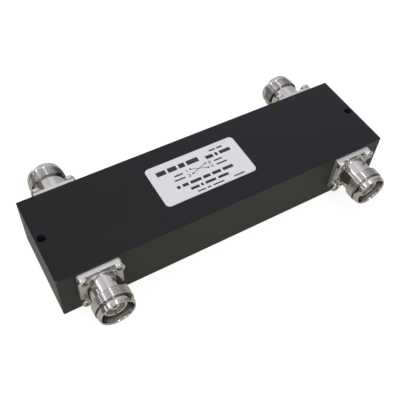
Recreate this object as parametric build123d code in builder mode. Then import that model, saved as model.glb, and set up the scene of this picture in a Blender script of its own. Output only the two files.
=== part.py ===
from build123d import *
from math import radians, tan
import os

# Hybrid coupler: a long milled aluminium box with two threaded coaxial jacks on each long side.
# Inside, two flat lines run one over the other and share the signal between the four jacks.
# Millimetres. The origin is at the middle of the underside; X runs along the box,
# -Y is the front with two of the jacks, and +Z is up towards the label.

# Box
length = 192.0
width = 51.4
height = 31.0
side_wall = 7.0
end_wall = 10.0
top_wall = 3.0
pocket_corner = 4.0
outer_chamfer = 0.4
mount_hole_r = 2.3
mount_hole_inset = 3.3

# Cover on the underside, with a land that plugs the pocket
cover_plate = 2.0
land_height = 2.6
land_gap = 0.1

# Label on top
label_length = 53.6
label_width = 26.8
label_thickness = 0.15
label_corner = 2.5
label_x = -4.7
label_y = 0.85

# Jack places: distance of the jack's axis from the end, and of its flange from the top edge
port_inset = 20.6
flange_top_margin = 1.6

# Jack body, turned from one bar with a square flange. "d" is the distance out from the box's wall.
# The nose, collar, groove and thread follow one another back from the rim; the barrel fills the rest.
flange_size = 22.4
flange_thickness = 2.8
flange_corner = 2.0
barrel_r = 8.7
barrel_root = 0.3
rim_d = 20.9
rim_chamfer = 0.35
nose_r = 9.1
nose_length = 1.5
collar_r = 9.5
collar_length = 1.5
collar_flank = 0.5
groove_r = 8.8
groove_length = 0.5
thread_r = 10.0
thread_length = 4.9
thread_chamfer = 0.3
mouth_r = 8.0
mouth_depth = 12.0

# Slotted sleeve pressed into the jack, the outer contact of the line
sleeve_inner_r = 5.0
sleeve_wall = 0.8
sleeve_rim_gap = 2.9
sleeve_seat_d = 3.0
sleeve_slots = 6
slot_width = 0.6
slot_length = 7.0

# Centre contact, a slotted socket in front and a pin behind
contact_r = 2.15
contact_bore_r = 1.15
contact_bore_depth = 8.0
contact_rim_gap = 3.7
contact_slots = 4
contact_slot_width = 0.35
contact_slot_length = 5.0
pin_r = 1.2
pin_reach = 4.4

# Insulator that carries the contact, from inside the sleeve into the box's wall
insulator_front_d = 5.0
insulator_reach = 4.0

# Screws through the jack flanges
flange_screw_spacing = 18.0
flange_screw_r = 1.5
flange_screw_length = 8.0
flange_head_r = 2.8
flange_head_height = 2.6
flange_head_crown_height = 0.8
flange_head_crown_width = 0.7

# Countersunk screws through the cover
cover_screws_per_side = 4
cover_screw_r = 1.25
cover_screw_length = 6.5
cover_head_r = 2.3
cover_head_sink = 0.15
cover_screw_end_inset = 5.0
socket_width = 1.5
socket_depth = 0.9

# Coupled lines
line_thickness = 1.2
line_gap = 1.6
section_length = 50.0
tight_width = 7.6
loose_overlap = 2.0
loose_wall_gap = 8.7
arm_width = 6.0
arm_wall_gap = 0.9
step_length = 2.5
arm_mitre = 4.0
joggle_angle = 45.0
joggle_margin = 0.4

# Supports of the lines
support_thickness = 6.0
support_side_gap = 0.1
lip_gap = 0.15
spacer_thickness = 5.0
spacer_cheek = 1.2
spacer_inset = 7.0

# Clearances
press_gap = 0.02
slide_gap = 0.1
screw_gap = 0.15
hole_end_gap = 0.6

# Worked out from the sizes above
face_y = width / 2
pocket_x = length / 2 - end_wall
pocket_y = face_y - side_wall
ceiling_z = height - top_wall
land_top_z = cover_plate + land_height
port_x = length / 2 - port_inset
port_z = height - flange_top_margin - flange_size / 2
sleeve_outer_r = sleeve_inner_r + sleeve_wall
sleeve_front_d = rim_d - sleeve_rim_gap
contact_front_d = rim_d - contact_rim_gap
mouth_floor_d = rim_d - mouth_depth
mount_hole_x = length / 2 - mount_hole_inset
upper_line_top = port_z
upper_line_bottom = upper_line_top - line_thickness
lower_line_top = upper_line_bottom - line_gap
lower_line_bottom = lower_line_top - line_thickness
arm_end_y = pocket_y - arm_wall_gap
pin_end_y = pocket_y - pin_reach
loose_outer_y = pocket_y - loose_wall_gap

PORTS = {
    "front_left": (-port_x, -1),
    "front_right": (port_x, -1),
    "rear_left": (-port_x, 1),
    "rear_right": (port_x, 1),
}

STANDING = (Align.CENTER, Align.CENTER, Align.MIN)


def port_origin(place):
    x, side = PORTS[place]
    return Vector(x, side * face_y, port_z)


def face_plane(place, d=0.0):
    """Plane on the box's wall at a jack, d out from the wall, facing out."""
    side = PORTS[place][1]
    origin = port_origin(place) + Vector(0, side * d, 0)
    return Plane(origin=origin, x_dir=(1, 0, 0), z_dir=(0, side, 0))


def turning_plane(place):
    """Plane through a jack's axis: its X is the radius and its Y is d."""
    side = PORTS[place][1]
    return Plane(origin=port_origin(place), x_dir=(1, 0, 0), z_dir=(0, 0, side))


def turning_axis(place):
    return Axis(port_origin(place), (0, PORTS[place][1], 0))


def save(part, name):
    part.label = name
    export_step(part, f"parts/{name}.step")


def cover_screw_places():
    """Places of the cover screws, along the middle of each side wall."""
    spacing = (length - 2 * cover_screw_end_inset) / (cover_screws_per_side - 1)
    return GridLocations(spacing, width - side_wall, cover_screws_per_side, 2)


def flange_screw_places():
    return GridLocations(flange_screw_spacing, flange_screw_spacing, 2, 2)


def make_housing():
    tapped_depth = flange_screw_length - flange_thickness + hole_end_gap
    cover_hole_depth = cover_screw_length - cover_plate + hole_end_gap
    with BuildPart() as housing:
        with BuildSketch(Plane.XY.offset(cover_plate)):
            Rectangle(length, width)
        extrude(amount=height - cover_plate)
        chamfer(housing.faces().sort_by(Axis.Z)[-1].edges(), outer_chamfer)
        chamfer(housing.edges().filter_by(Axis.Z), outer_chamfer)
        with BuildSketch(Plane.XY.offset(cover_plate)):
            RectangleRounded(2 * pocket_x, 2 * pocket_y, pocket_corner)
        extrude(amount=ceiling_z - cover_plate, mode=Mode.SUBTRACT)
        with BuildSketch(Plane.XY.offset(cover_plate)):
            with Locations((-mount_hole_x, 0), (mount_hole_x, 0)):
                Circle(mount_hole_r)
        extrude(amount=height, mode=Mode.SUBTRACT)
        with BuildSketch(Plane.XY.offset(cover_plate)):
            with cover_screw_places():
                Circle(cover_screw_r + press_gap)
        extrude(amount=cover_hole_depth, mode=Mode.SUBTRACT)
        for place in PORTS:
            with BuildSketch(face_plane(place)):
                Circle(sleeve_inner_r)
            extrude(amount=-side_wall - slide_gap, mode=Mode.SUBTRACT)
            with BuildSketch(face_plane(place)):
                with flange_screw_places():
                    Circle(flange_screw_r + press_gap)
            extrude(amount=-tapped_depth, mode=Mode.SUBTRACT)
    return housing.part


def make_bottom_cover():
    screw_hole_r = cover_screw_r + screw_gap
    sink_r = cover_head_r + cover_head_sink + screw_gap
    with BuildPart() as bottom_cover:
        with BuildSketch():
            Rectangle(length, width)
        extrude(amount=cover_plate)
        chamfer(bottom_cover.edges().filter_by(Axis.Z), outer_chamfer)
        with BuildSketch(Plane.XY.offset(cover_plate)):
            RectangleRounded(2 * (pocket_x - land_gap), 2 * (pocket_y - land_gap), pocket_corner - land_gap)
        extrude(amount=land_height)
        with BuildSketch():
            with Locations((-mount_hole_x, 0), (mount_hole_x, 0)):
                Circle(mount_hole_r)
            with cover_screw_places():
                Circle(screw_hole_r)
        extrude(amount=cover_plate, mode=Mode.SUBTRACT)
        with cover_screw_places():
            Cone(sink_r, screw_hole_r, sink_r - screw_hole_r, align=STANDING, mode=Mode.SUBTRACT)
    return bottom_cover.part


def make_label():
    with BuildPart() as label:
        with BuildSketch(Plane.XY.offset(height)):
            with Locations((label_x, label_y)):
                RectangleRounded(label_length, label_width, label_corner)
        extrude(amount=label_thickness)
    return label.part


def make_cover_screws():
    """Countersunk screws, all alike, heads just under the bottom face."""
    shank_length = cover_screw_length - cover_head_sink
    head_height = cover_head_r - cover_screw_r
    with BuildPart() as cover_screws:
        with Locations(Plane.XY.offset(cover_head_sink)):
            with cover_screw_places():
                Cylinder(cover_screw_r, shank_length, align=STANDING)
                Cone(cover_head_r, cover_screw_r, head_height, align=STANDING)
        with BuildSketch(Plane.XY.offset(cover_head_sink)):
            with cover_screw_places():
                RegularPolygon(socket_width / 2, 6, major_radius=False)
        extrude(amount=socket_depth, mode=Mode.SUBTRACT)
    return cover_screws.part


def make_flange_screws():
    """Pan head screws, four on each jack flange, all alike."""
    with BuildPart() as flange_screws:
        for place in PORTS:
            head_plane = face_plane(place, flange_thickness)
            with BuildSketch(head_plane):
                with flange_screw_places():
                    Circle(flange_screw_r)
            extrude(amount=-flange_screw_length)
            with BuildSketch(head_plane):
                with flange_screw_places():
                    Circle(flange_head_r)
            extrude(amount=flange_head_height)
        head_tops = flange_screws.faces().filter_by(Axis.Y).group_by(Axis.Y)
        crown_edges = (head_tops[0] + head_tops[-1]).edges()
        chamfer(crown_edges, flange_head_crown_height, flange_head_crown_width)
    return flange_screws.part


def make_jack_body(place):
    """Flange, barrel, threaded band, groove, collar and nose of one jack, turned in one piece."""
    collar_front_d = rim_d - nose_length
    collar_rear_d = collar_front_d - collar_length
    groove_front_d = collar_rear_d - collar_flank
    thread_front_d = groove_front_d - groove_length
    thread_rear_d = thread_front_d - thread_length
    thread_edge_r = thread_r - thread_chamfer
    with BuildPart() as jack_body:
        with BuildSketch(face_plane(place)):
            RectangleRounded(flange_size, flange_size, flange_corner)
        extrude(amount=flange_thickness)
        with BuildSketch(turning_plane(place)):
            with BuildLine():
                Polyline(
                    (0, flange_thickness / 2),
                    (barrel_r + barrel_root, flange_thickness / 2),
                    (barrel_r + barrel_root, flange_thickness),
                    (barrel_r, flange_thickness + barrel_root),
                    (barrel_r, thread_rear_d),
                    (thread_edge_r, thread_rear_d),
                    (thread_r, thread_rear_d + thread_chamfer),
                    (thread_r, thread_front_d - thread_chamfer),
                    (thread_edge_r, thread_front_d),
                    (groove_r, thread_front_d),
                    (groove_r, groove_front_d),
                    (collar_r, collar_rear_d),
                    (collar_r, collar_front_d),
                    (nose_r, rim_d - rim_chamfer),
                    (nose_r - rim_chamfer, rim_d),
                    (mouth_r, rim_d),
                    (mouth_r, mouth_floor_d),
                    (0, mouth_floor_d),
                    close=True,
                )
            make_face()
        revolve(axis=turning_axis(place))
        with BuildSketch(face_plane(place, mouth_floor_d)):
            Circle(sleeve_outer_r + press_gap)
        extrude(amount=sleeve_seat_d - mouth_floor_d, mode=Mode.SUBTRACT)
        with BuildSketch(face_plane(place, sleeve_seat_d)):
            Circle(sleeve_inner_r)
        extrude(amount=-sleeve_seat_d, mode=Mode.SUBTRACT)
        with BuildSketch(face_plane(place, flange_thickness)):
            with flange_screw_places():
                Circle(flange_screw_r + screw_gap)
        extrude(amount=-flange_thickness, mode=Mode.SUBTRACT)
    return jack_body.part


def make_jack_sleeve(place):
    """Spring sleeve of a jack, slotted from its front end so that its fingers can give."""
    with BuildPart() as jack_sleeve:
        with BuildSketch(face_plane(place, sleeve_seat_d)):
            Circle(sleeve_outer_r)
            Circle(sleeve_inner_r, mode=Mode.SUBTRACT)
        extrude(amount=sleeve_front_d - sleeve_seat_d)
        with BuildSketch(face_plane(place, sleeve_front_d)):
            with PolarLocations(sleeve_inner_r + sleeve_wall / 2, sleeve_slots, start_angle=90):
                Rectangle(3 * sleeve_wall, slot_width)
        extrude(amount=-slot_length, mode=Mode.SUBTRACT)
    return jack_sleeve.part


def make_jack_insulator(place):
    with BuildPart() as jack_insulator:
        with BuildSketch(face_plane(place, insulator_front_d)):
            Circle(sleeve_inner_r - press_gap)
            Circle(pin_r + press_gap, mode=Mode.SUBTRACT)
        extrude(amount=-insulator_front_d - insulator_reach)
    return jack_insulator.part


def make_jack_contact(place):
    """Centre contact: slotted socket in front, pin through the insulator with a solder flat behind."""
    side = PORTS[place][1]
    pin_end_d = pin_end_y - face_y
    flat_end_y = arm_end_y + slide_gap
    with BuildPart() as jack_contact:
        with BuildSketch(face_plane(place, insulator_front_d)):
            Circle(contact_r)
        extrude(amount=contact_front_d - insulator_front_d)
        with BuildSketch(face_plane(place, insulator_front_d)):
            Circle(pin_r)
        extrude(amount=pin_end_d - insulator_front_d)
        with BuildSketch(face_plane(place, contact_front_d)):
            Circle(contact_bore_r)
        extrude(amount=-contact_bore_depth, mode=Mode.SUBTRACT)
        with BuildSketch(face_plane(place, contact_front_d)):
            with PolarLocations(contact_r, contact_slots, start_angle=45):
                Rectangle(2 * (contact_r - contact_bore_r), contact_slot_width)
        extrude(amount=-contact_slot_length, mode=Mode.SUBTRACT)
        with BuildSketch(Plane.XY.offset(port_z - pin_r)):
            with Locations((PORTS[place][0], side * (pin_end_y + flat_end_y) / 2)):
                Rectangle(2 * pin_r, flat_end_y - pin_end_y)
        extrude(amount=pin_r, mode=Mode.SUBTRACT)
    return jack_contact.part


def make_line(side, bottom_z):
    """Flat line with a tight middle section and two offset outer sections, its arms towards side.

    Each arm ends under the pins of the jacks. Where the line lies lower than the pins,
    the arm is joggled up to them.
    """
    rise = port_z - line_thickness - bottom_z
    run = rise / tan(radians(joggle_angle))
    bend_shift = line_thickness * tan(radians(joggle_angle / 2))
    arm_outer_x = port_x + arm_width / 2
    bend_y = loose_outer_y + joggle_margin
    raised_y = bend_y + run
    inner_y = -loose_overlap / 2
    with BuildPart() as line:
        with BuildSketch(Plane.XY.offset(bottom_z)):
            with BuildLine():
                Polyline(
                    (0, -side * tight_width / 2),
                    (section_length / 2, -side * tight_width / 2),
                    (section_length / 2 + step_length, side * inner_y),
                    (arm_outer_x - arm_mitre, side * inner_y),
                    (arm_outer_x, side * (inner_y + arm_mitre)),
                    (arm_outer_x, side * loose_outer_y),
                    (section_length / 2 + step_length, side * loose_outer_y),
                    (section_length / 2, side * tight_width / 2),
                    (0, side * tight_width / 2),
                    close=True,
                )
            make_face()
        extrude(amount=line_thickness)
        with BuildSketch(Plane.YZ.offset(port_x - arm_width / 2)):
            with BuildLine():
                if rise > line_thickness / 2:
                    Polyline(
                        (side * loose_outer_y, bottom_z),
                        (side * bend_y, bottom_z),
                        (side * raised_y, bottom_z + rise),
                        (side * arm_end_y, bottom_z + rise),
                        (side * arm_end_y, port_z),
                        (side * (raised_y - bend_shift), port_z),
                        (side * (bend_y - bend_shift), bottom_z + line_thickness),
                        (side * loose_outer_y, bottom_z + line_thickness),
                        close=True,
                    )
                else:
                    Polyline(
                        (side * loose_outer_y, bottom_z),
                        (side * arm_end_y, bottom_z),
                        (side * arm_end_y, port_z),
                        (side * loose_outer_y, port_z),
                        close=True,
                    )
            make_face()
        extrude(amount=arm_width)
        mirror(about=Plane.YZ)
    return line.part


def make_lower_support(x):
    """Insulating bar from the cover's land up to both lines, its step the height between them."""
    bar_y = pocket_y - support_side_gap
    with BuildPart() as lower_support:
        with BuildSketch(Plane.YZ.offset(x - support_thickness / 2)):
            with BuildLine():
                Polyline(
                    (-bar_y, land_top_z),
                    (bar_y, land_top_z),
                    (bar_y, lower_line_top),
                    (loose_outer_y + lip_gap, lower_line_top),
                    (loose_outer_y + lip_gap, lower_line_bottom),
                    (-loose_overlap / 2 - lip_gap, lower_line_bottom),
                    (-loose_overlap / 2 - lip_gap, upper_line_bottom),
                    (-bar_y, upper_line_bottom),
                    close=True,
                )
            make_face()
        extrude(amount=support_thickness)
    return lower_support.part


def make_upper_support(x):
    """Insulating bar from the pocket's ceiling down to both lines, the other half of the clamp."""
    bar_y = pocket_y - support_side_gap
    with BuildPart() as upper_support:
        with BuildSketch(Plane.YZ.offset(x - support_thickness / 2)):
            with BuildLine():
                Polyline(
                    (bar_y, ceiling_z),
                    (-bar_y, ceiling_z),
                    (-bar_y, upper_line_bottom),
                    (-loose_outer_y - lip_gap, upper_line_bottom),
                    (-loose_outer_y - lip_gap, upper_line_top),
                    (loose_overlap / 2 + lip_gap, upper_line_top),
                    (loose_overlap / 2 + lip_gap, lower_line_top),
                    (bar_y, lower_line_top),
                    close=True,
                )
            make_face()
        extrude(amount=support_thickness)
    return upper_support.part


def make_gap_spacer(x):
    """H-shaped spacer that sets the gap between the lines in the tight section."""
    seat_width = tight_width + 2 * lip_gap
    stack_height = upper_line_top - lower_line_bottom
    with BuildPart() as gap_spacer:
        with BuildSketch(Plane.YZ.offset(x - spacer_thickness / 2)):
            with Locations((0, (upper_line_top + lower_line_bottom) / 2)):
                Rectangle(seat_width + 2 * spacer_cheek, stack_height)
                Rectangle(seat_width, stack_height, mode=Mode.SUBTRACT)
                Rectangle(seat_width, line_gap)
        extrude(amount=spacer_thickness)
    return gap_spacer.part


os.makedirs("parts", exist_ok=True)

save(make_housing(), "housing")
save(make_bottom_cover(), "bottom_cover")
save(make_label(), "label")
save(make_cover_screws(), "cover_screws")
save(make_flange_screws(), "flange_screws")

for place in PORTS:
    save(make_jack_body(place), f"jack_{place}_body")
    save(make_jack_sleeve(place), f"jack_{place}_sleeve")
    save(make_jack_insulator(place), f"jack_{place}_insulator")
    save(make_jack_contact(place), f"jack_{place}_contact")

save(make_line(-1, upper_line_bottom), "upper_line")
save(make_line(1, lower_line_bottom), "lower_line")

support_x = (section_length / 2 + port_x) / 2
spacer_x = section_length / 2 - spacer_inset
for end, sign in {"left": -1, "right": 1}.items():
    save(make_lower_support(sign * support_x), f"lower_support_{end}")
    save(make_upper_support(sign * support_x), f"upper_support_{end}")
    save(make_gap_spacer(sign * spacer_x), f"gap_spacer_{end}")
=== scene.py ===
import math

import bmesh
import bpy
from mathutils import Euler, Matrix, Vector


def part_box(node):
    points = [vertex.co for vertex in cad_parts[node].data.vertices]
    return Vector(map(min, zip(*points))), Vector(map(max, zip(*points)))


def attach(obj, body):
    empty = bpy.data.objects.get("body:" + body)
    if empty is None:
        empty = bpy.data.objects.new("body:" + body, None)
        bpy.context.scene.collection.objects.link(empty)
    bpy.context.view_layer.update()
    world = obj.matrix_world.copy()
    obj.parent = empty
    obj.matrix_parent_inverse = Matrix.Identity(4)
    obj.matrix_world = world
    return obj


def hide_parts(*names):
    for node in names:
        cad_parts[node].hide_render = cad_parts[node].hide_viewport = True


# Looks of the hybrid coupler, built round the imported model. Blender units are metres;
# sizes written in millimetres are multiplied by MM. The front is -Y and the label faces +Z.
# "d" is the distance out from the box's wall along a jack's axis.

MM = 0.001

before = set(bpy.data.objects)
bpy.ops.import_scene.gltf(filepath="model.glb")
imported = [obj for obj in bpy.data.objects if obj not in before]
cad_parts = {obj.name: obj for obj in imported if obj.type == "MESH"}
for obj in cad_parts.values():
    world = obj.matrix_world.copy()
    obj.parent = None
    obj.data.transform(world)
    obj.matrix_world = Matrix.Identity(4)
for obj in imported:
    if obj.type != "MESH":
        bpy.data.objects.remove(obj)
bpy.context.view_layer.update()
scene = bpy.context.scene
JACKS = ("front_left", "front_right", "rear_left", "rear_right")

# Camera
CAMERA_PLACE = (-0.11727, -0.1699, 0.27353)
CAMERA_TURN = (37.2701, -2.6785, -30.0912)
CAMERA_LENS = 54.6
CAMERA_SENSOR = 36.0
CAMERA_NEAR = 0.01
CAMERA_FAR = 50.0


def make_camera():
    data = bpy.data.cameras.new("camera")
    data.lens = CAMERA_LENS
    data.sensor_width = CAMERA_SENSOR
    data.clip_start = CAMERA_NEAR
    data.clip_end = CAMERA_FAR
    camera = bpy.data.objects.new("camera", data)
    camera.location = CAMERA_PLACE
    camera.rotation_euler = Euler([math.radians(a) for a in CAMERA_TURN])
    scene.collection.objects.link(camera)
    scene.camera = camera


make_camera()


# Node helpers
def feed(tree, socket, value):
    """Links an input to another node's socket, or sets it to a number or a colour."""
    if isinstance(value, bpy.types.NodeSocket):
        tree.links.new(value, socket)
    else:
        socket.default_value = value


def put(tree, kind, props=None, **inputs):
    """Adds a node. In an input's name _ is a space; i0, i1 and so on are inputs by number."""
    made = tree.nodes.new("ShaderNode" + kind)
    for name, value in (props or {}).items():
        setattr(made, name, value)
    for name, value in inputs.items():
        key = int(name[1:]) if name[1:].isdigit() else name.replace("_", " ")
        feed(tree, made.inputs[key], value)
    return made


def math_node(tree, operation, a, b=0.0):
    return put(tree, "Math", {"operation": operation}, i0=a, i1=b).outputs[0]


def times(tree, a, b):
    return math_node(tree, "MULTIPLY", a, b)


def varied(tree, pattern, middle, spread):
    """A value that follows a pattern of 0 to 1, spread evenly round its middle."""
    return put(tree, "Math", {"operation": "MULTIPLY_ADD"}, i0=pattern, i1=spread,
               i2=middle - spread / 2).outputs[0]


def ramp(tree, value, low, high, to_low=0.0, to_high=1.0):
    """Maps value from low..high to to_low..to_high, smoothly and clamped."""
    return put(tree, "MapRange", {"interpolation_type": "SMOOTHSTEP"}, Value=value, From_Min=low,
               From_Max=high, To_Min=to_low, To_Max=to_high).outputs[0]


def mix(tree, factor, a, b):
    """Mixes two colours."""
    return put(tree, "Mix", {"data_type": "RGBA"}, i0=factor, i6=a, i7=b).outputs[2]


def noise(tree, place, scale, detail=3.0, roughness=0.55):
    """Noise pattern from about 0 to 1; its scale is per metre."""
    made = put(tree, "TexNoise", Vector=place, Scale=scale, Detail=detail, Roughness=roughness)
    return made.outputs["Fac"]


def stretched(tree, place, factors):
    """Texture place scaled by factors along X, Y and Z."""
    return put(tree, "Mapping", Vector=place, Scale=factors).outputs[0]


def bump(tree, height, distance, strength=1.0, under=None):
    made = put(tree, "Bump", Height=height, Distance=distance, Strength=strength)
    if under is not None:
        tree.links.new(under, made.inputs["Normal"])
    return made.outputs[0]


def rgb(r, g, b):
    """Linear colour with full alpha."""
    return (r, g, b, 1.0)


def start_material(name, metallic=0.0, ior_level=0.5):
    material = bpy.data.materials.new(name)
    material.use_nodes = True
    tree = material.node_tree
    shader = tree.nodes["Principled BSDF"]
    shader.inputs["Metallic"].default_value = metallic
    shader.inputs["Specular IOR Level"].default_value = ior_level
    place = put(tree, "TexCoord").outputs["Object"]
    return material, tree, shader, place


def finish_material(material, tree, shader, colour, roughness, normal):
    tree.links.new(colour, shader.inputs["Base Color"])
    tree.links.new(roughness, shader.inputs["Roughness"])
    tree.links.new(normal, shader.inputs["Normal"])
    return material


# Black coat of the box
box_low, box_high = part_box("housing")
BOX_HALF = ((box_high.x - box_low.x) / 2, (box_high.y - box_low.y) / 2)
BOX_TOP = box_high.z
END_HOLE_INSET = 3.3 * MM
END_HOLE_R = 2.3 * MM
END_HOLE_EDGE = 0.08 * MM

# Where wear is full and where it ends, counted from an edge or from the knocked corner
RUB_REACH = (0.10 * MM, 0.75 * MM)
CHIP_REACH = (0.12 * MM, 0.42 * MM)
NICK_REACH = (0.90 * MM, 1.50 * MM)
NICK_RAGGED = 0.90 * MM
NICK_SHARE = 0.55
CHIP_SHARE = 0.45
RUB_SHARE = 0.20
TOP_EDGE = (0.05 * MM, 0.30 * MM)
FOOT_HEIGHT = 0.35 * MM
FOOT_RAGGED = 0.90 * MM
FOOT_SHARE = 0.9
COAT_GRAIN_DEPTH = 0.012 * MM
COAT_GRAIN_BUMP = 0.55
COAT_THICK = 0.05 * MM
COAT_THICK_BUMP = 0.6
COAT_GLOSS = 0.3

# Middle and spread of values that follow a pattern
COAT_ROUGH = (0.41, 0.10)
RUB_VARIES = (0.85, 0.70)

# Where the noise patterns of chips and rubbed patches start and are full
CHIP_SPOTS = (0.67, 0.71)
RUB_PATCHES = (0.40, 0.62)

# Scales of the coat's noise patterns, per metre
CLOUD_SCALE = 38
PATCH_SCALE = 260
FOOT_SCALE = 420
CHIP_SCALE = 900
NICK_SCALE = 1500
COAT_GRAIN_SCALE = 5200

# Its colours
# Painted reflection in the coat's base colours: a bluer top for the sky, lighter olive sides for the
# floor
TOP_LEFT_WITH_PAINTED_SHEEN = rgb(0.0014, 0.0018, 0.0030)
TOP_RIGHT_WITH_PAINTED_SHEEN = rgb(0.0048, 0.0062, 0.0100)
TOP_HAZE = rgb(0.0105, 0.0112, 0.0112)
TOP_HAZE_SHARE = 0.25
SIDE_DARK_WITH_PAINTED_SHEEN = rgb(0.0185, 0.0220, 0.0140)
SIDE_PALE_WITH_PAINTED_SHEEN = rgb(0.0215, 0.0250, 0.0165)
FOOT_BLACK = rgb(0.0015, 0.0015, 0.0015)
# Painted light on the walls of the end holes, which lie in shade
HOLE_PAINTED_LIGHT = rgb(0.043, 0.048, 0.059)
RUBBED = rgb(0.060, 0.060, 0.060)
BARE_METAL = rgb(0.34, 0.34, 0.33)

# Scratches, scuffs and specks. Each row: stretch along Y, noise scale, detail and roughness, the
# noise values where a mark starts and is full, share of its colour, colour
COAT_MARKS = (
    (26.0, 52, 2, 0.40, 0.70, 0.75, 0.10, rgb(0.055, 0.055, 0.056)),
    (5.0, 24, 5, 0.70, 0.55, 0.80, 0.06, rgb(0.050, 0.051, 0.050)),
    (1.0, 1300, 1, 0.55, 0.775, 0.80, 0.22, rgb(0.085, 0.086, 0.080)),
)


def edge_distance(tree, axes):
    """Distance to the box's nearest edge, where it is near to two faces, and depth under the top."""
    out_x = math_node(tree, "SUBTRACT", BOX_HALF[0], math_node(tree, "ABSOLUTE", axes[0]))
    out_y = math_node(tree, "SUBTRACT", BOX_HALF[1], math_node(tree, "ABSOLUTE", axes[1]))
    under_top = math_node(tree, "SUBTRACT", BOX_TOP, axes[2])
    pair_xy = math_node(tree, "MAXIMUM", out_x, out_y)
    pair_xz = math_node(tree, "MAXIMUM", out_x, under_top)
    pair_yz = math_node(tree, "MAXIMUM", out_y, under_top)
    edge = math_node(tree, "MINIMUM", pair_xy, math_node(tree, "MINIMUM", pair_xz, pair_yz))
    return edge, under_top


def bare_metal(tree, place, edge):
    """Where metal shows: chips along the edges, and a nick in the front left top corner."""
    chip_spots = ramp(tree, noise(tree, place, CHIP_SCALE), *CHIP_SPOTS)
    chip = times(tree, ramp(tree, edge, *CHIP_REACH, 1.0, 0.0), chip_spots)
    corner = put(tree, "VectorMath", {"operation": "DISTANCE"}, i0=place,
                 i1=(box_low.x, box_low.y, BOX_TOP)).outputs["Value"]
    ragged = times(tree, noise(tree, place, NICK_SCALE), NICK_RAGGED)
    nick = ramp(tree, math_node(tree, "ADD", corner, ragged), *NICK_REACH, 1.0, 0.0)
    return math_node(tree, "MAXIMUM", times(tree, nick, NICK_SHARE), times(tree, chip, CHIP_SHARE))


def end_hole(tree, axes):
    """1 on the walls of the two end holes."""
    off_x = math_node(tree, "SUBTRACT", math_node(tree, "ABSOLUTE", axes[0]),
                      BOX_HALF[0] - END_HOLE_INSET)
    off_axis = put(tree, "CombineXYZ", X=off_x, Y=axes[1]).outputs[0]
    radius = put(tree, "VectorMath", {"operation": "LENGTH"}, i0=off_axis).outputs["Value"]
    return ramp(tree, radius, END_HOLE_R, END_HOLE_R + END_HOLE_EDGE, 1.0, 0.0)


def black_coat():
    """Satin black coat on aluminium, worn along the edges, with faint scratches on top."""
    material, tree, shader, place = start_material("black_coat", ior_level=COAT_GLOSS)
    axes = put(tree, "SeparateXYZ", Vector=place).outputs
    edge, under_top = edge_distance(tree, axes)
    cloud = noise(tree, place, CLOUD_SCALE, 4)
    grain = noise(tree, place, COAT_GRAIN_SCALE, 2, 0.6)

    # Painted reflection: the top is painted bluer, for the sky it mirrors, and a little lighter to the
    # right; the sides are painted lighter and olive, for the warm floor they mirror
    along = ramp(tree, axes[0], box_low.x, box_high.x)
    top = mix(tree, along, TOP_LEFT_WITH_PAINTED_SHEEN, TOP_RIGHT_WITH_PAINTED_SHEEN)
    top = mix(tree, times(tree, cloud, TOP_HAZE_SHARE), top, TOP_HAZE)
    side = mix(tree, cloud, SIDE_DARK_WITH_PAINTED_SHEEN, SIDE_PALE_WITH_PAINTED_SHEEN)
    base = mix(tree, ramp(tree, under_top, *TOP_EDGE), top, side)

    # Dark, slightly ragged foot, and painted light, lighter and cooler than the coat, on the walls of
    # the end holes
    ragged = times(tree, noise(tree, place, FOOT_SCALE), -FOOT_RAGGED)
    foot = math_node(tree, "ADD", axes[2], ragged)
    base = mix(tree, ramp(tree, foot, 0.0, FOOT_HEIGHT, FOOT_SHARE, 0.0), base, FOOT_BLACK)
    base = mix(tree, end_hole(tree, axes), base, HOLE_PAINTED_LIGHT)

    for stretch, scale, detail, roughness, start, full, share, colour in COAT_MARKS:
        mark_place = stretched(tree, place, (1.0, stretch, 1.0))
        mark = ramp(tree, noise(tree, mark_place, scale, detail, roughness), start, full)
        base = mix(tree, times(tree, mark, share), base, colour)

    patchy = ramp(tree, noise(tree, place, PATCH_SCALE, 5), *RUB_PATCHES)
    rub = times(tree, ramp(tree, edge, *RUB_REACH, 1.0, 0.0), varied(tree, patchy, *RUB_VARIES))
    base = mix(tree, times(tree, rub, RUB_SHARE), base, RUBBED)
    worn = bare_metal(tree, place, edge)
    base = mix(tree, worn, base, BARE_METAL)

    normal = bump(tree, grain, COAT_GRAIN_DEPTH, COAT_GRAIN_BUMP)
    coated = math_node(tree, "SUBTRACT", 1.0, worn)
    normal = bump(tree, coated, COAT_THICK, COAT_THICK_BUMP, normal)
    return finish_material(material, tree, shader, base, varied(tree, grain, *COAT_ROUGH), normal)


# Metals and plastics: scales of their noise patterns and depths of their grain
DRIFT_SCALE = 130
STAIN_SCALE = 420
STAIN_SPOTS = (0.52, 0.72)
STAIN_SHARE = 0.28
RING_SCALE = 620
RING_THIN = 0.02
RING_LINES = (0.35, 0.75)
RING_SHARE = 0.14
RING_DEPTH = 0.006 * MM
TURNED_SPREAD = 0.10
MILL_MARK_SCALE = 420
MILL_MARK_STRETCH = (1.0, 14.0, 1.0)
MILL_MARK_LINES = (0.3, 0.7)
MILL_MARK_SHARE = 0.35
MILL_GRAIN_SCALE = 2600
MILL_DEPTH = 0.010 * MM
MILLED_SPREAD = 0.16
METAL_BUMP = 0.5
MOTTLE_SCALE = 240
PLASTIC_GRAIN_SCALE = 1920
PLASTIC_DEPTH = 0.01 * MM
PLASTIC_SPREAD = 0.12
PLASTIC_BUMP = 0.4


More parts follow.
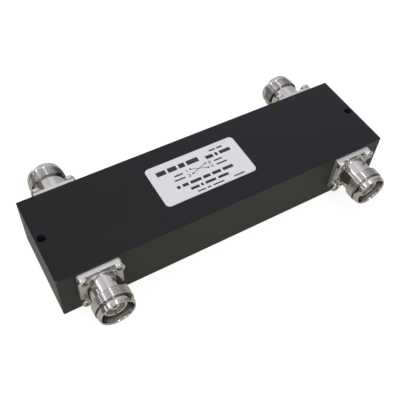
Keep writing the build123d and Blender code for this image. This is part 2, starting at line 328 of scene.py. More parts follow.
def turned_metal(name, tint, dark, rough, line_scale=9.0):
    """Metal turned on a lathe: fine rings round the Y axis, a little colour drift and stain."""
    material, tree, shader, place = start_material(name, metallic=1.0)
    ring_place = stretched(tree, place, (RING_THIN, line_scale, RING_THIN))
    rings = noise(tree, ring_place, RING_SCALE, 4, 0.7)
    drift = noise(tree, place, DRIFT_SCALE, 4)
    stain = ramp(tree, noise(tree, place, STAIN_SCALE, 5, 0.65), *STAIN_SPOTS)
    colour = mix(tree, drift, tint, dark)
    colour = mix(tree, times(tree, stain, STAIN_SHARE), colour, dark)
    colour = mix(tree, ramp(tree, rings, *RING_LINES, 0.0, RING_SHARE), colour, dark)
    roughness = varied(tree, drift, rough, TURNED_SPREAD)
    normal = bump(tree, rings, RING_DEPTH, METAL_BUMP)
    return finish_material(material, tree, shader, colour, roughness, normal)


def milled_metal(name, tint, dark, rough):
    """Milled metal: fine matt grain with short marks."""
    material, tree, shader, place = start_material(name, metallic=1.0)
    grain = noise(tree, place, MILL_GRAIN_SCALE, 3, 0.7)
    marks = noise(tree, stretched(tree, place, MILL_MARK_STRETCH), MILL_MARK_SCALE, 3, 0.6)
    colour = mix(tree, grain, tint, dark)
    colour = mix(tree, ramp(tree, marks, *MILL_MARK_LINES, 0.0, MILL_MARK_SHARE), colour, dark)
    roughness = varied(tree, marks, rough, MILLED_SPREAD)
    normal = bump(tree, grain, MILL_DEPTH, METAL_BUMP)
    return finish_material(material, tree, shader, colour, roughness, normal)


def plastic(name, light, dark, rough):
    material, tree, shader, place = start_material(name)
    mottle = noise(tree, place, MOTTLE_SCALE, 4)
    colour = mix(tree, mottle, light, dark)
    roughness = varied(tree, mottle, rough, PLASTIC_SPREAD)
    normal = bump(tree, noise(tree, place, PLASTIC_GRAIN_SCALE, 2), PLASTIC_DEPTH, PLASTIC_BUMP)
    return finish_material(material, tree, shader, colour, roughness, normal)


# Label film and print
FILM_PALE = rgb(0.94, 0.935, 0.945)
FILM_DARK = rgb(0.89, 0.885, 0.90)
FILM_DUST = rgb(0.38, 0.38, 0.40)
FILM_DUST_WIDTH = 0.7 * MM
FILM_DUST_SHARE = 0.30
FILM_MOTTLE_SCALE = 300
FILM_DUST_SCALE = 700
FILM_GRAIN_SCALE = 2400
FILM_DEPTH = 0.008 * MM
FILM_GLOSS = 0.45
FILM_ROUGH = (0.425, 0.15)
INK_DARK = rgb(0.018, 0.018, 0.021)
INK_PALE = rgb(0.034, 0.034, 0.038)
INK_GAP = rgb(0.30, 0.30, 0.31)
INK_GAP_SHARE = 0.35
INK_GAP_SPOTS = (0.60, 0.72)
INK_DRIFT_SCALE = 500
INK_GRAIN_SCALE = 3000
INK_GAP_SCALE = 3800
INK_DEPTH = 0.005 * MM
INK_GLOSS = 0.4
INK_ROUGH = (0.525, 0.15)


def label_film():
    """Pale film with a faint mottle and a dusty edge."""
    material, tree, shader, place = start_material("label_film", ior_level=FILM_GLOSS)
    low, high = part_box("label")
    half = (high - low) / 2
    local = put(tree, "VectorMath", {"operation": "SUBTRACT"}, i0=place, i1=tuple((low + high) / 2))
    axes = put(tree, "SeparateXYZ", Vector=local.outputs[0]).outputs
    inner_x = math_node(tree, "SUBTRACT", half.x, math_node(tree, "ABSOLUTE", axes[0]))
    inner_y = math_node(tree, "SUBTRACT", half.y, math_node(tree, "ABSOLUTE", axes[1]))
    rim = ramp(tree, math_node(tree, "MINIMUM", inner_x, inner_y), 0.0, FILM_DUST_WIDTH,
               FILM_DUST_SHARE, 0.0)
    mottle = noise(tree, place, FILM_MOTTLE_SCALE, 4)
    colour = mix(tree, mottle, FILM_PALE, FILM_DARK)
    colour = mix(tree, times(tree, rim, noise(tree, place, FILM_DUST_SCALE)), colour, FILM_DUST)
    normal = bump(tree, noise(tree, place, FILM_GRAIN_SCALE, 2), FILM_DEPTH, PLASTIC_BUMP)
    return finish_material(material, tree, shader, colour, varied(tree, mottle, *FILM_ROUGH), normal)


def label_ink():
    """Black print, slightly broken where the film shows through."""
    material, tree, shader, place = start_material("label_ink", ior_level=INK_GLOSS)
    gaps = ramp(tree, noise(tree, place, INK_GAP_SCALE), *INK_GAP_SPOTS)
    colour = mix(tree, noise(tree, place, INK_DRIFT_SCALE), INK_DARK, INK_PALE)
    colour = mix(tree, times(tree, gaps, INK_GAP_SHARE), colour, INK_GAP)
    normal = bump(tree, noise(tree, place, INK_GRAIN_SCALE, 2), INK_DEPTH, PLASTIC_BUMP)
    return finish_material(material, tree, shader, colour, varied(tree, gaps, *INK_ROUGH), normal)


NICKEL = rgb(0.74, 0.725, 0.70)
NICKEL_DARK = rgb(0.52, 0.50, 0.465)
coat = black_coat()
film = label_film()
ink = label_ink()
turned = turned_metal("turned_nickel", NICKEL, NICKEL_DARK, 0.13)
milled = milled_metal("milled_nickel", rgb(0.84, 0.835, 0.84), rgb(0.67, 0.655, 0.645), 0.52)
faced = turned_metal("faced_nickel", NICKEL, NICKEL_DARK, 0.20)
screw_metal = turned_metal("screw_nickel", rgb(0.80, 0.785, 0.76), rgb(0.56, 0.535, 0.49), 0.13, 1.0)
bored = turned_metal("bored_nickel", rgb(0.74, 0.71, 0.66), rgb(0.54, 0.505, 0.455), 0.28)
bronze = turned_metal("plated_bronze", rgb(0.96, 0.94, 0.89), rgb(0.88, 0.85, 0.79), 0.62)
silver = turned_metal("silvered_contact", rgb(0.96, 0.95, 0.92), rgb(0.88, 0.86, 0.81), 0.45)
zinc = turned_metal("zinc_steel", rgb(0.30, 0.30, 0.31), rgb(0.16, 0.16, 0.17), 0.36, 1.0)
brass = milled_metal("line_brass", rgb(0.71, 0.52, 0.24), rgb(0.52, 0.36, 0.15), 0.28)
ptfe = plastic("insulator_white", rgb(0.95, 0.94, 0.91), rgb(0.90, 0.89, 0.85), 0.46)
resin = plastic("support_resin", rgb(0.56, 0.50, 0.38), rgb(0.45, 0.39, 0.28), 0.42)

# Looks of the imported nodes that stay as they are
CAD_LOOKS = {"housing": coat, "bottom_cover": coat, "cover_screws": zinc, "upper_line": brass,
             "lower_line": brass}
for end in ("left", "right"):
    for kind in ("lower_support", "upper_support", "gap_spacer"):
        CAD_LOOKS[f"{kind}_{end}"] = resin
for jack in JACKS:
    CAD_LOOKS[f"jack_{jack}_sleeve"] = bronze
    CAD_LOOKS[f"jack_{jack}_contact"] = silver
    CAD_LOOKS[f"jack_{jack}_insulator"] = ptfe

for name, material in CAD_LOOKS.items():
    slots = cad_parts[name].data.materials
    if len(slots) == 0:
        slots.append(material)
    for index in range(len(slots)):
        slots[index] = material


# Mesh helpers
def mesh_from(bm, name, materials, sharp_deg):
    """Mesh of the built faces, smooth but for edges sharper than sharp_deg."""
    bmesh.ops.recalc_face_normals(bm, faces=bm.faces)
    mesh = bpy.data.meshes.new(name)
    bm.to_mesh(mesh)
    bm.free()
    for material in materials:
        mesh.materials.append(material)
    mesh.shade_smooth()
    mesh.set_sharp_from_angle(angle=math.radians(sharp_deg))
    return mesh


def add_piece(name, mesh, place=(0, 0, 0), turn=None):
    piece = bpy.data.objects.new(name, mesh)
    piece.location = place
    if turn is not None:
        piece.rotation_euler = turn
    scene.collection.objects.link(piece)
    return piece


def arc(centre, radius, start_deg, end_deg, steps):
    """Points (r, d) on an arc; 0 degrees points along +r and 90 along +d."""
    points = []
    for i in range(steps + 1):
        a = math.radians(start_deg + (end_deg - start_deg) * i / steps)
        points.append((centre[0] + radius * math.cos(a), centre[1] + radius * math.sin(a)))
    return points


def join_rings(bm, a, b):
    """Adds the faces between two closed rings of vertices."""
    for k in range(len(a)):
        k2 = (k + 1) % len(a)
        bm.faces.new((a[k], a[k2], b[k2], b[k]))


def jack_wall(jack):
    """Where a jack's axis meets the box's wall, and the side it points to along Y."""
    low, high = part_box(f"jack_{jack}_body")
    side = -1 if jack.startswith("front") else 1
    wall = high.y if side < 0 else low.y
    return Vector(((low.x + high.x) / 2, wall, (low.z + high.z) / 2)), side


# Jack bodies, in millimetres
body_low, body_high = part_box("jack_front_left_body")
FLANGE_HALF = (body_high.x - body_low.x) / 2 / MM
RIM_D = (body_high.y - body_low.y) / MM
FLANGE_THICK = 2.8
FLANGE_CORNER = 1.1
FLANGE_BEVEL = 0.10
BARREL_R = 8.7
BARREL_RING_D = FLANGE_THICK + 2.4
ROOT_R = 0.8
ROOT_STEPS = 8
THREAD_R = 10.0
THREAD_START = 12.0
THREAD_END = 16.9
THREAD_CHAMFER = 0.15
THREAD_PITCH = 1.0
THREAD_DEPTH = 0.48
RELIEF = 0.10
RELIEF_START = THREAD_START - 0.30
RELIEF_FULL = THREAD_START - 0.22
GROOVE_R = 8.6
GROOVE_ROUND = 0.05
GROOVE_END = 17.4
GROOVE_STEP = 9.30
COLLAR_R = 9.5
COLLAR_REAR = 17.9
COLLAR_FRONT = 19.4
COLLAR_BREAK = 0.12
NOSE_R = 9.1
NOSE_ROUND = 0.30
NOSE_STEPS = 6
LEAD_DEPTH = 1.3
LEAD_DEG = 15
LEAD_EDGE = 0.10
LEAD_STEPS = 4
MOUTH_R = 8.0
MOUTH_RING_D = RIM_D - 4.0
MOUTH_FLOOR = RIM_D - 12.0
MOUTH_BREAK = 0.3
SEAT_R = 5.82
SEAT_D = 3.0
BORE_R = 5.0
JACK_SHARP_DEG = 34
WELD = 0.004 * MM
THINNEST = 0.002 * MM
TURNED_SLOT, EDGE_SLOT, BORE_SLOT, FACE_SLOT = 0, 1, 2, 3

# Points (r, d) round two corners, that take off the sharp edge
STEP_BREAK = ((-0.04, 0.0), (0.03, 0.04))
COLLAR_REAR_BREAK = ((-0.12, -0.12), (-0.03, 0.0), (0.0, 0.10))

# Turned rings have even steps, and finer ones on both sides of each corner of the flange
EVEN_STEPS = 120
CORNER_STEPS_DEG = (0.7, 1.4, 2.1, 2.8)

# Thread form over one pitch: share of the pitch, and depth from 0 at the crest to 1 at the root
THREAD_STEPS = (
    (0.0, 0.0), (0.14, 0.0), (0.22, 0.08), (0.30, 0.28), (0.46, 0.80),
    (0.54, 1.0), (0.68, 1.0), (0.76, 0.80), (0.92, 0.28),
)


def turning_angles():
    """Angles of the points of a ring, in radians."""
    angles = {i * 360 / EVEN_STEPS for i in range(EVEN_STEPS)}
    for corner in (45, 135, 225, 315):
        for step in CORNER_STEPS_DEG:
            angles.update((corner - step, corner + step))
    return [math.radians(a) for a in sorted(angles)]


ANGLES = turning_angles()


def square_radius(angle, half, corner):
    """Distance from the middle to the edge of a rounded square, at an angle."""
    x, z = abs(math.sin(angle)), abs(math.cos(angle))
    if x < z:
        x, z = z, x
    reach = half / x
    if reach * z <= half - corner:
        return reach
    m = half - corner
    along = m * (x + z)
    return along + math.sqrt(max(along * along - 2 * m * m + corner * corner, 0))


def flange_rings():
    """Rings of the square flange, each a list of (radius, d), from the wall outwards."""
    rings = []
    for inset, d in ((FLANGE_BEVEL, 0.0), (0.0, FLANGE_BEVEL), (0.0, FLANGE_THICK - FLANGE_BEVEL),
                     (FLANGE_BEVEL, FLANGE_THICK)):
        rings.append([(square_radius(a, FLANGE_HALF - inset, FLANGE_CORNER - inset), d) for a in ANGLES])
    return rings


def turned_outline():
    """Outline of a jack body before and after the thread and inside the mouth, as (radius, d)."""
    before = arc((BARREL_R + ROOT_R, FLANGE_THICK + ROOT_R), ROOT_R, 270, 180, ROOT_STEPS)
    before += [
        (BARREL_R, BARREL_RING_D),
        (BARREL_R, RELIEF_START),
        (BARREL_R - RELIEF, RELIEF_FULL),
        (BARREL_R - RELIEF, THREAD_START),
    ]
    after = [
        (GROOVE_R + GROOVE_ROUND, THREAD_END),
        (GROOVE_R, THREAD_END + GROOVE_ROUND),
        (GROOVE_R, GROOVE_END - GROOVE_ROUND),
        (GROOVE_R + GROOVE_ROUND, GROOVE_END),
    ]
    after += [(GROOVE_STEP + r, GROOVE_END + d) for r, d in STEP_BREAK]
    after += [(COLLAR_R + r, COLLAR_REAR + d) for r, d in COLLAR_REAR_BREAK]
    slope = (COLLAR_R - NOSE_R) / (RIM_D - NOSE_ROUND - COLLAR_FRONT)
    after += [
        (COLLAR_R, COLLAR_FRONT - COLLAR_BREAK),
        (COLLAR_R - COLLAR_BREAK * slope, COLLAR_FRONT + COLLAR_BREAK),
    ]
    lead_r = MOUTH_R + LEAD_DEPTH * math.tan(math.radians(LEAD_DEG))
    after += arc((NOSE_R - NOSE_ROUND, RIM_D - NOSE_ROUND), NOSE_ROUND, 0, 90, NOSE_STEPS)
    after += arc((lead_r + LEAD_EDGE, RIM_D - LEAD_EDGE), LEAD_EDGE, 90, 180 - LEAD_DEG, LEAD_STEPS)
    after.append((MOUTH_R, RIM_D - LEAD_DEPTH))
    inside = [
        (MOUTH_R, MOUTH_RING_D),
        (MOUTH_R, MOUTH_FLOOR + MOUTH_BREAK),
        (MOUTH_R - MOUTH_BREAK, MOUTH_FLOOR),
        (SEAT_R, MOUTH_FLOOR),
        (SEAT_R, SEAT_D),
        (BORE_R, SEAT_D),
        (BORE_R, 0.0),
    ]
    return before, after, inside


def thread_limit(d):
    """Radius that the chamfers at both ends leave to the thread."""
    return THREAD_R - max(0.0, THREAD_CHAMFER - min(d - THREAD_START, THREAD_END - d))


def thread_rows():
    """Rows of a true helix: each climbs one pitch in a turn. Both ends are cut to the thread's run."""
    turns = int((THREAD_END - THREAD_START) / THREAD_PITCH) + 2
    rows = []
    for turn in range(-1, turns):
        for share, depth in THREAD_STEPS:
            row = []
            for angle in ANGLES:
                d = THREAD_START + THREAD_PITCH * (turn + share + angle / (2 * math.pi))
                d = min(max(d, THREAD_START), THREAD_END)
                row.append((min(THREAD_R - THREAD_DEPTH * depth, thread_limit(d)), d))
            rows.append(row)
    return rows


def band_slot(band, total, flange_count, inside_count):
    """Material slot of the faces between ring number band and the next one."""
    if band == flange_count - 1:
        return FACE_SLOT
    if band < flange_count or band == total - 1:
        return EDGE_SLOT
    if band >= total - 1 - inside_count:
        return BORE_SLOT
    return TURNED_SLOT


def jack_mesh():
    """Body of one jack in its own frame: axis along -Y, the box's wall at y = 0."""
    flange = flange_rings()
    before, after, inside = turned_outline()
    helix = thread_rows()
    outlines = flange + [[point] * len(ANGLES) for point in before] + helix
    outlines += [[point] * len(ANGLES) for point in after + inside]
    helix_first = len(flange) + len(before)
    helix_last = helix_first + len(helix) - 1
    per_turn = len(THREAD_STEPS)

    bm = bmesh.new()
    rings = []
    for outline in outlines:
        ring = []
        for angle, (r, d) in zip(ANGLES, outline):
            ring.append(bm.verts.new((r * math.sin(angle) * MM, -d * MM, r * math.cos(angle) * MM)))
        rings.append(ring)

    total = len(rings)
    for i in range(total):
        a, b = rings[i], rings[(i + 1) % total]
        slot = band_slot(i, total, len(flange), len(inside))
        for k in range(len(ANGLES)):
            k2 = (k + 1) % len(ANGLES)
            corners = (a[k], a[k2], b[k2], b[k])
            if k2 == 0 and helix_first <= i < helix_last:
                # The last column of a helix row meets the first column one turn further on
                if i + 1 + per_turn > helix_last:
                    continue
                corners = (a[k], rings[i + per_turn][0], rings[i + 1 + per_turn][0], b[k])
            bm.faces.new(corners).material_index = slot
    bmesh.ops.remove_doubles(bm, verts=bm.verts, dist=WELD)
    bmesh.ops.dissolve_degenerate(bm, edges=bm.edges, dist=THINNEST)
    return mesh_from(bm, "jack_body", [turned, milled, bored, faced], JACK_SHARP_DEG)


def make_jack_bodies():
    mesh = jack_mesh()
    for jack in JACKS:
        node = f"jack_{jack}_body"
        wall, side = jack_wall(jack)
        turn = None if side < 0 else Euler((0, 0, math.pi))
        piece = add_piece(node + "_detail", mesh, wall, turn)
        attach(piece, "root")
        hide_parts(node)


make_jack_bodies()


# Flange screws, in millimetres
HEAD_R = 2.8
HEAD_HEIGHT = 2.6
HEAD_FOOT = 0.12
HEAD_SIDE = HEAD_HEIGHT - 0.95
HEAD_ROUND = 0.80
HEAD_ROUND_DEG = 75
HEAD_ROUND_STEPS = 8
DOME_SHARES = (0.66, 0.33)
SHANK_R = 1.5
SHANK_CHAMFER = 0.3
SCREW_LENGTH = 8.0
SCREW_SPACING = 18.0
SCREW_STEPS = 40
SCREW_SHARP_DEG = 38
SPIN_DEG = 37
RECESS_WIDTH = 1.0
RECESS_REACH = 1.65
RECESS_DEPTH = 1.7

# Ends of the tool that cuts a recess: height, share of the recess's reach and of its width
CUTTER_ENDS = ((HEAD_HEIGHT - RECESS_DEPTH, 0.55, 0.865), (HEAD_HEIGHT + 0.5, 1.12, 1.036))
BOX_FACES = ((3, 2, 1, 0), (4, 5, 6, 7), (0, 1, 5, 4), (1, 2, 6, 5), (2, 3, 7, 6), (3, 0, 4, 7))


def screw_mesh():
    """Pan head screw without its recess, along Z with the flange's face at z = 0."""
    tip = -SCREW_LENGTH
    points = [(0, tip), (SHANK_R - SHANK_CHAMFER, tip), (SHANK_R, tip + SHANK_CHAMFER), (SHANK_R, 0.0)]
    points += [(HEAD_R - HEAD_FOOT, 0.0), (HEAD_R, HEAD_FOOT), (HEAD_R, HEAD_SIDE)]
    points += arc((HEAD_R - HEAD_ROUND, HEAD_SIDE), HEAD_ROUND, 0, HEAD_ROUND_DEG, HEAD_ROUND_STEPS)[1:]
    edge_r, edge_z = points[-1]
    for share in DOME_SHARES:
        points.append((edge_r * share, edge_z + (HEAD_HEIGHT - edge_z) * (1 - share * share)))
    points.append((0, HEAD_HEIGHT))

    bm = bmesh.new()
    start = bm.verts.new((0, 0, points[0][1] * MM))
    end = bm.verts.new((0, 0, points[-1][1] * MM))
    rings = []
    for r, z in points[1:-1]:
        ring = []
        for k in range(SCREW_STEPS):
            a = 2 * math.pi * k / SCREW_STEPS
            ring.append(bm.verts.new((r * math.cos(a) * MM, r * math.sin(a) * MM, z * MM)))
        rings.append(ring)
    for k in range(SCREW_STEPS):
        k2 = (k + 1) % SCREW_STEPS
        bm.faces.new((start, rings[0][k2], rings[0][k]))
        bm.faces.new((end, rings[-1][k], rings[-1][k2]))
    for a, b in zip(rings, rings[1:]):
        join_rings(bm, a, b)
    return mesh_from(bm, "screw_blank", [screw_metal], SCREW_SHARP_DEG)


def cross_cutter():
    """Tapered cross that cuts the recess; its wide end stands above the head."""
    bm = bmesh.new()
    for turn in (0, math.pi / 2):
        corners = []
        for z, reach_share, width_share in CUTTER_ENDS:
            reach = RECESS_REACH * reach_share
            half_width = RECESS_WIDTH / 2 * width_share
            for sx, sy in ((-1, -1), (1, -1), (1, 1), (-1, 1)):
                at = Vector((sx * reach, sy * half_width, z))
                corners.append(bm.verts.new(Matrix.Rotation(turn, 3, "Z") @ at * MM))
        for face in BOX_FACES:
            bm.faces.new([corners[i] for i in face])
    return mesh_from(bm, "cross_cutter", [], SCREW_SHARP_DEG)


def cut(mesh, cutter_mesh):
    """Mesh with the cutter's space removed."""
    whole = add_piece("cut_whole", mesh)
    cutter = add_piece("cut_tool", cutter_mesh)
    modifier = whole.modifiers.new("cut", "BOOLEAN")
    modifier.operation = "DIFFERENCE"
    modifier.solver = "EXACT"
    modifier.use_self = True
    modifier.object = cutter
    depsgraph = bpy.context.evaluated_depsgraph_get()
    result = bpy.data.meshes.new_from_object(whole.evaluated_get(depsgraph))
    bpy.data.objects.remove(whole)
    bpy.data.objects.remove(cutter)
    bpy.data.meshes.remove(cutter_mesh)
    return result


def make_flange_screws():
    """Sixteen pan head screws with cross recesses, each turned differently, in one piece."""
    screw = cut(screw_mesh(), cross_cutter())
    bm = bmesh.new()
    number = 0
    for jack in JACKS:
        wall, side = jack_wall(jack)
        centre = Vector((wall.x, wall.y + side * FLANGE_THICK * MM, wall.z))
        to_axis = Matrix.Rotation(-side * math.pi / 2, 4, "X")
        for sx in (-1, 1):
            for sz in (-1, 1):
                number += 1
                at = centre + Vector((sx, 0, sz)) * SCREW_SPACING / 2 * MM
                spin = Matrix.Rotation(math.radians(SPIN_DEG * number), 4, "Z")
                before = len(bm.verts)
                bm.from_mesh(screw)
                bm.verts.ensure_lookup_table()
                bmesh.ops.transform(bm, matrix=Matrix.Translation(at) @ to_axis @ spin,
                                    verts=bm.verts[before:])
    mesh = mesh_from(bm, "flange_screws_detail", [screw_metal], SCREW_SHARP_DEG)
    piece = add_piece("flange_screws_detail", mesh)
    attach(piece, "root")
    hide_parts("flange_screws")


make_flange_screws()


# Label
label_low, label_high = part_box("label")
LABEL_MID = (label_low + label_high) / 2
LABEL_HALF = ((label_high.x - label_low.x) / 2, (label_high.y - label_low.y) / 2)
LABEL_CORNER = 2.5 * MM
LABEL_BEVEL = 0.03 * MM
LABEL_STEPS = 10
LABEL_SHARP_DEG = 30


def rounded_outline(half_x, half_y, corner, steps):
    points = []
    for sx, sy, start in ((1, 1, 0), (-1, 1, 90), (-1, -1, 180), (1, -1, 270)):
        for i in range(steps + 1):
            a = math.radians(start + 90 * i / steps)
            points.append((sx * (half_x - corner) + corner * math.cos(a),
                           sy * (half_y - corner) + corner * math.sin(a)))
    return points


def make_label():
    base = rounded_outline(*LABEL_HALF, LABEL_CORNER, LABEL_STEPS)
    inner = rounded_outline(LABEL_HALF[0] - LABEL_BEVEL, LABEL_HALF[1] - LABEL_BEVEL,
                            LABEL_CORNER - LABEL_BEVEL, LABEL_STEPS)
    bm = bmesh.new()
    rings = []
    for outline, z in ((base, label_low.z), (base, label_high.z - LABEL_BEVEL), (inner, label_high.z)):
        rings.append([bm.verts.new((LABEL_MID.x + x, LABEL_MID.y + y, z)) for x, y in outline])
    bm.faces.new(list(reversed(rings[0])))
    bm.faces.new(rings[-1])
    for a, b in zip(rings, rings[1:]):
        join_rings(bm, a, b)
    piece = add_piece("label_film_detail", mesh_from(bm, "label_film_detail", [film], LABEL_SHARP_DEG))
    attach(piece, "root")
    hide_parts("label")


# Generic print, in millimetres from the label's middle. Rows of plain bars stand in for words:
# height of the row's middle, bar height, then (start, length) pairs along the label
PRINT_ROWS = (
    (7.6, 3.0, ((-22.2, 5.4), (-15.6, 5.2), (-9.2, 3.6), (-4.4, 7.0))),
    (9.7, 1.0, ((10.6, 3.6), (15.2, 3.4))),
    (6.2, 2.2, ((6.6, 4.4), (12.2, 1.6), (15.0, 6.6))),
    (2.5, 0.9, ((-14.4, 5.0), (9.4, 5.0))),
    (-0.3, 0.9, ((-15.6, 6.2), (9.4, 6.4))),
    (-4.7, 1.9, ((-16.6, 1.8), (-13.4, 3.4), (-8.8, 6.4), (-1.2, 4.2), (4.2, 5.2), (10.6, 6.2))),
    (-8.4, 1.6, ((-10.6, 5.0), (-4.6, 1.4), (-2.0, 6.2), (5.6, 6.2))),
    (-11.5, 0.8, ((-8.2, 4.6), (-2.6, 2.2), (0.8, 6.6), (13.4, 6.4))),
)
WORD_CORNER = 0.22
CORNER_STEPS = 3

# The crossed lines of the port sketch, from one dot to the other
SKETCH_LINES = (((-4.6, 3.2), (4.6, 0.0)), ((-4.6, 0.0), (4.6, 3.2)))
SKETCH_WIDTH = 0.32
SKETCH_DOT_R = 0.55
DOT_ROUND = 0.99
DOT_STEPS = 5

# Port numbers: the lower left corner of each, and its strokes in a cell 1 wide and 1.6 high
PORT_NUMBERS = (
    ((-7.4, 2.0), (((0.25, 1.25), (0.6, 1.6)), ((0.6, 1.6), (0.6, 0.0)))),
    ((6.4, 2.0), (((0.0, 1.6), (1.0, 1.6)), ((1.0, 1.6), (1.0, 0.8)), ((1.0, 0.8), (0.0, 0.8)),
                  ((0.0, 0.8), (0.0, 0.0)), ((0.0, 0.0), (1.0, 0.0)))),
    ((-7.4, -1.0), (((0.0, 1.6), (1.0, 1.6)), ((1.0, 1.6), (1.0, 0.0)), ((0.2, 0.8), (1.0, 0.8)),
                    ((0.0, 0.0), (1.0, 0.0)))),
    ((6.4, -1.0), (((0.0, 1.6), (0.0, 0.8)), ((0.0, 0.8), (1.0, 0.8)), ((1.0, 1.6), (1.0, 0.0)))),
)
STROKE_WIDTH = 0.30
STROKE_ROUND = 0.45

# Heights of the print over and under the film. Dots and crossing strokes stand a little higher
PRINT_RISE = 0.02 * MM
PRINT_SINK = 0.01 * MM
DOT_RISE = 0.004 * MM
STROKE_RISE = 0.002 * MM


def slab(bm, outline, low, high, at, turn=0.0):
    """Adds a flat prism with that outline, from height low to high."""
    c, s = math.cos(turn), math.sin(turn)
    placed = [(at[0] + x * c - y * s, at[1] + x * s + y * c) for x, y in outline]
    bottom = [bm.verts.new((x, y, low)) for x, y in placed]
    top = [bm.verts.new((x, y, high)) for x, y in placed]
    bm.faces.new(top)
    bm.faces.new(list(reversed(bottom)))
    join_rings(bm, bottom, top)


def stroke(bm, start, end, width, low, high):
    """Straight printed stroke with rounded ends."""
    (x0, y0), (x1, y1) = start, end
    length = math.hypot(x1 - x0, y1 - y0) + width
    outline = rounded_outline(length / 2, width / 2, width * STROKE_ROUND, CORNER_STEPS)
    slab(bm, outline, low, high, ((x0 + x1) / 2, (y0 + y1) / 2), math.atan2(y1 - y0, x1 - x0))


def make_print():
    bm = bmesh.new()
    low, high = label_high.z - PRINT_SINK, label_high.z + PRINT_RISE

    def place(x, y):
        return LABEL_MID.x + x * MM, LABEL_MID.y + y * MM

    for y, tall, words in PRINT_ROWS:
        for start, run in words:
            outline = rounded_outline(run / 2 * MM, tall / 2 * MM, WORD_CORNER * MM, CORNER_STEPS)
            slab(bm, outline, low, high, place(start + run / 2, y))
    dot_r = SKETCH_DOT_R * MM
    for line in SKETCH_LINES:
        stroke(bm, place(*line[0]), place(*line[1]), SKETCH_WIDTH * MM, low, high)
        for point in line:
            outline = rounded_outline(dot_r, dot_r, dot_r * DOT_ROUND, DOT_STEPS)
            slab(bm, outline, low, high + DOT_RISE, place(*point))
    for (x, y), strokes in PORT_NUMBERS:
        for index, (start, end) in enumerate(strokes):
            stroke(bm, place(x + start[0], y + start[1]), place(x + end[0], y + end[1]),
                   STROKE_WIDTH * MM, low, high + STROKE_RISE * index)
    piece = add_piece("label_print", mesh_from(bm, "label_print", [ink], LABEL_SHARP_DEG))
    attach(piece, "root")


make_label()
make_print()


# Light
# Soft zones of the studio round the object. "Lean" is the angle from straight up towards +X in
# degrees, "back" the part of the direction that points to +Y. Zones that overlap add up.
# Each row: lean from, lean to, back from, back to, brightness
SKY_ZONES = (
    # Left side, dim, with a narrow strip light
    (-90, -43, -0.15, 0.70, 0.15),
    (-52, -43, 0.28, 0.70, 0.16),
    (-62, -56, -0.15, 0.52, 1.70),
    # Tall key light, left of straight up
    (-43, -26, 0.28, 0.70, 0.90),
    (-39, -30, -0.15, 0.52, 1.60),
    (-45, -15, -0.15, 0.28, 0.66),
    # Ceiling, from left to right
    (-26, -8, 0.28, 0.70, 0.86),
    (-8, 10, 0.28, 0.70, 0.76),
    (10, 28, 0.28, 0.70, 0.96),
    (28, 46, 0.28, 0.70, 0.76),
    (46, 90, 0.28, 0.70, 0.59),
    (-15, 25, -0.15, 0.28, 0.80),
    (25, 60, -0.15, 0.28, 0.51),
    (60, 90, -0.15, 0.28, 0.29),
    # Back
    (-90, -30, 0.70, 1.00, 1.36),
    (-30, 90, 0.70, 1.00, 0.70),
    # Front, high
    (-30, 30, -0.45, -0.15, 0.45),
    (-30, 30, -0.80, -0.45, 0.40),
    (-90, -30, -0.80, -0.15, 0.54),
    (30, 90, -0.80, -0.15, 0.24),
    # Front, low
    (-90, -30, -1.00, -0.80, 1.45),
    (-30, 30, -1.00, -0.80, 0.60),
    (30, 90, -1.00, -0.80, 0.85),
)
LEAN_SOFT = math.radians(3)
BACK_SOFT = 0.03
SKY_TINT = rgb(0.985, 0.985, 1.055)
WHITE = rgb(1.0, 1.0, 1.0)
STRIP_PLACE = (0.107, -0.17, 1.09)
STRIP_SIZE = (0.08, 1.07)
STRIP_RADIANCE = 5.5
FLOOR_RADIUS = 6.0
FLOOR_STEPS = 96
FLOOR_HEIGHT = -0.0002
FLOOR_DIFFUSE = rgb(0.36, 0.352, 0.34)
FLOOR_GLOW = 0.86
FLOOR_FADE = (0.22, 0.60)
FLOOR_GLOSS_TINT = rgb(1.0, 0.97, 0.84)
FLOOR_GLOSS_GLOW = 0.33


def make_strip():
    """Long strip light overhead, along the box's width."""
    data = bpy.data.lights.new("overhead_strip", "AREA")
    data.shape = "RECTANGLE"
    data.size, data.size_y = STRIP_SIZE
    data.energy = STRIP_RADIANCE * math.pi * STRIP_SIZE[0] * STRIP_SIZE[1]
    lamp = bpy.data.objects.new("overhead_strip", data)
    lamp.location = STRIP_PLACE
    lamp.visible_camera = False
    scene.collection.objects.link(lamp)


def between(tree, value, low, high, soft, least, most):
    """1 where value lies from low to high, with soft ends; an end at a limit is left open."""
    inside = 1.0
    if low > least:
        inside = ramp(tree, value, low - soft, low + soft)
    if high < most:
        inside = times(tree, inside, ramp(tree, value, high - soft, high + soft, 1.0, 0.0))
    return inside


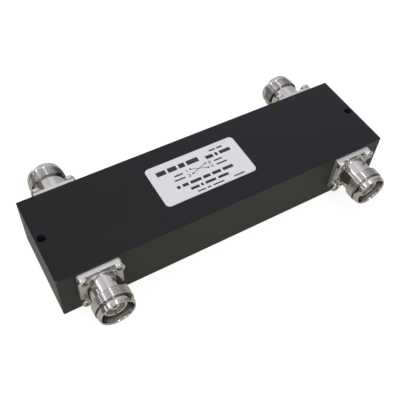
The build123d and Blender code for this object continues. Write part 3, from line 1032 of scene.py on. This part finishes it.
def make_world():
    """Soft zones of light; the camera itself sees plain white."""
    world = bpy.data.worlds.new("studio")
    scene.world = world
    world.use_nodes = True
    tree = world.node_tree
    tree.nodes.clear()
    place = put(tree, "TexCoord").outputs["Generated"]
    axes = put(tree, "SeparateXYZ", Vector=place).outputs
    lean = math_node(tree, "ARCTAN2", axes[0], axes[2])
    total = 0.0
    for lean_low, lean_high, back_low, back_high, brightness in SKY_ZONES:
        wide = between(tree, lean, math.radians(lean_low), math.radians(lean_high), LEAN_SOFT,
                       -math.pi, math.pi)
        deep = between(tree, axes[1], back_low, back_high, BACK_SOFT, -1.0, 1.0)
        total = math_node(tree, "ADD", total, times(tree, times(tree, wide, deep), brightness))
    studio = put(tree, "Background", Color=SKY_TINT, Strength=total)
    white = put(tree, "Background", Color=WHITE)
    seen = put(tree, "LightPath").outputs["Is Camera Ray"]
    chosen = put(tree, "MixShader", i0=seen, i1=studio.outputs[0], i2=white.outputs[0])
    output = put(tree, "OutputWorld")
    tree.links.new(chosen.outputs[0], output.inputs["Surface"])


def make_floor():
    """Plain pale floor that keeps the shadow and shows white to the camera."""
    bm = bmesh.new()
    bmesh.ops.create_circle(bm, cap_ends=True, segments=FLOOR_STEPS, radius=FLOOR_RADIUS)
    mesh = bpy.data.meshes.new("floor")
    bm.to_mesh(mesh)
    bm.free()
    floor = add_piece("floor", mesh, (0, 0, FLOOR_HEIGHT))

    material = bpy.data.materials.new("pale_floor")
    material.use_nodes = True
    tree = material.node_tree
    tree.nodes.clear()
    path = put(tree, "LightPath").outputs
    gloss = math_node(tree, "MAXIMUM", path["Is Glossy Ray"], path["Is Transmission Ray"])
    place = put(tree, "TexCoord").outputs["Object"]
    far = put(tree, "VectorMath", {"operation": "LENGTH"}, i0=place).outputs["Value"]
    to_camera = times(tree, path["Is Camera Ray"], ramp(tree, far, *FLOOR_FADE, FLOOR_GLOW, 1.0))
    glow = math_node(tree, "ADD", to_camera, times(tree, gloss, FLOOR_GLOSS_GLOW))
    emission = put(tree, "Emission", Color=mix(tree, gloss, WHITE, FLOOR_GLOSS_TINT), Strength=glow)
    diffuse = put(tree, "BsdfDiffuse", Color=FLOOR_DIFFUSE)
    both = put(tree, "AddShader", i0=emission.outputs[0], i1=diffuse.outputs[0])
    output = put(tree, "OutputMaterial")
    tree.links.new(both.outputs[0], output.inputs["Surface"])
    mesh.materials.append(material)


make_strip()
make_world()
make_floor()
scene.view_settings.view_transform = "Standard"
